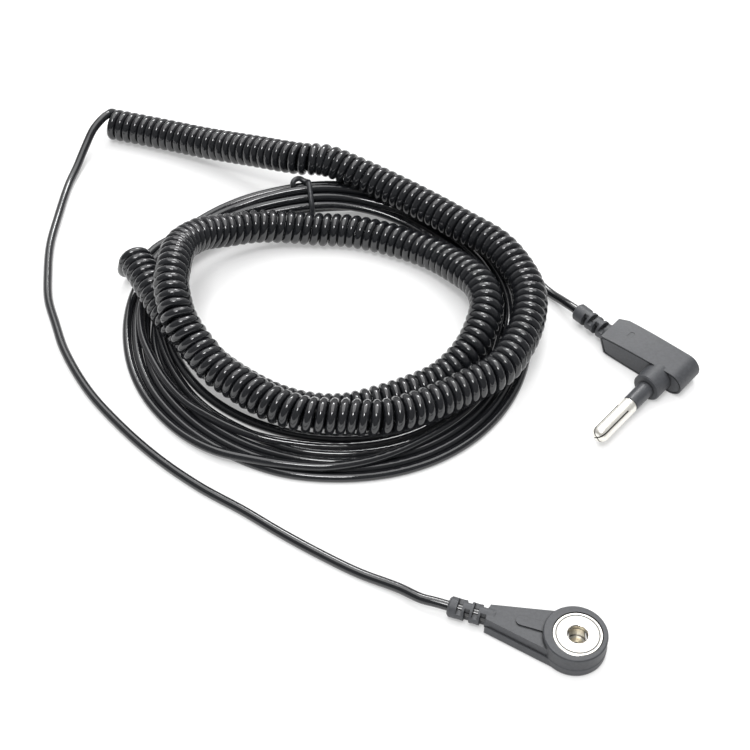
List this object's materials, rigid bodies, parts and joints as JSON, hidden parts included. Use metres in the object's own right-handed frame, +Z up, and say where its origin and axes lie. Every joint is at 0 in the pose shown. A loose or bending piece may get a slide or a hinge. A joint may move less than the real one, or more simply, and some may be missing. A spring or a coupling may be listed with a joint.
{
  "type": "coiled ground cord",
  "caption": "Coiled ESD ground cord: moulded snap socket end, curly cord, looped straight lead and right-angle split banana plug.",
  "frame": {"origin": "centre of the snap head's flat underside, on the surface that the cord lies on", "axes": "+Z up, out of the snap socket's mouth; +Y away from the viewer, from the snap head towards the coil; +X to the viewer's right"},
  "size_m": [0.1618, 0.1757, 0.0229],
  "materials": {
    "moulded_plastic": "fine satin grain",
    "inner_mould": "matte",
    "sleeve_plastic": "satin",
    "cord_jacket": "glossy black",
    "tie_plastic": "satin black",
    "nickel": "bright nickel plate",
    "spring_steel": "drawn wire",
    "brass": "plain",
    "conductor": "stranded copper",
    "resistor_coat": "lacquer"
  },
  "bodies": {
    "cord": {"snap_housing": "moulded_plastic", "snap_core": "inner_mould", "socket_cap": "nickel", "socket_base": "nickel", "eyelet": "brass", "ring_terminal": "nickel", "resistor_body": "resistor_coat", "resistor_leads": "spring_steel", "crimp_sleeve": "nickel", "snap_conductor": "conductor", "snap_jacket": "cord_jacket", "snap_lead": "cord_jacket", "curly_cord": "cord_jacket", "lead_coil": "cord_jacket", "twist_tie": "tie_plastic", "plug_lead": "cord_jacket", "plug_housing": "moulded_plastic", "plug_core": "inner_mould", "contact_pin": "nickel", "pin_sleeve": "sleeve_plastic", "solder_tag": "nickel", "plug_conductor": "conductor", "plug_jacket": "cord_jacket"},
    "left_spring": {"spring_left": "spring_steel"},
    "right_spring": {"spring_right": "spring_steel"}
  },
  "joints": [
    {"name": "left_spring_travel", "type": "slide", "parent": "cord", "child": "left_spring", "axis": [-1, 0, 0], "range_m": [0, 0.00045], "stiffness_N_per_m": 8000},
    {"name": "right_spring_travel", "type": "slide", "parent": "cord", "child": "right_spring", "axis": [1, 0, 0], "range_m": [0, 0.00045], "stiffness_N_per_m": 8000}
  ]
}
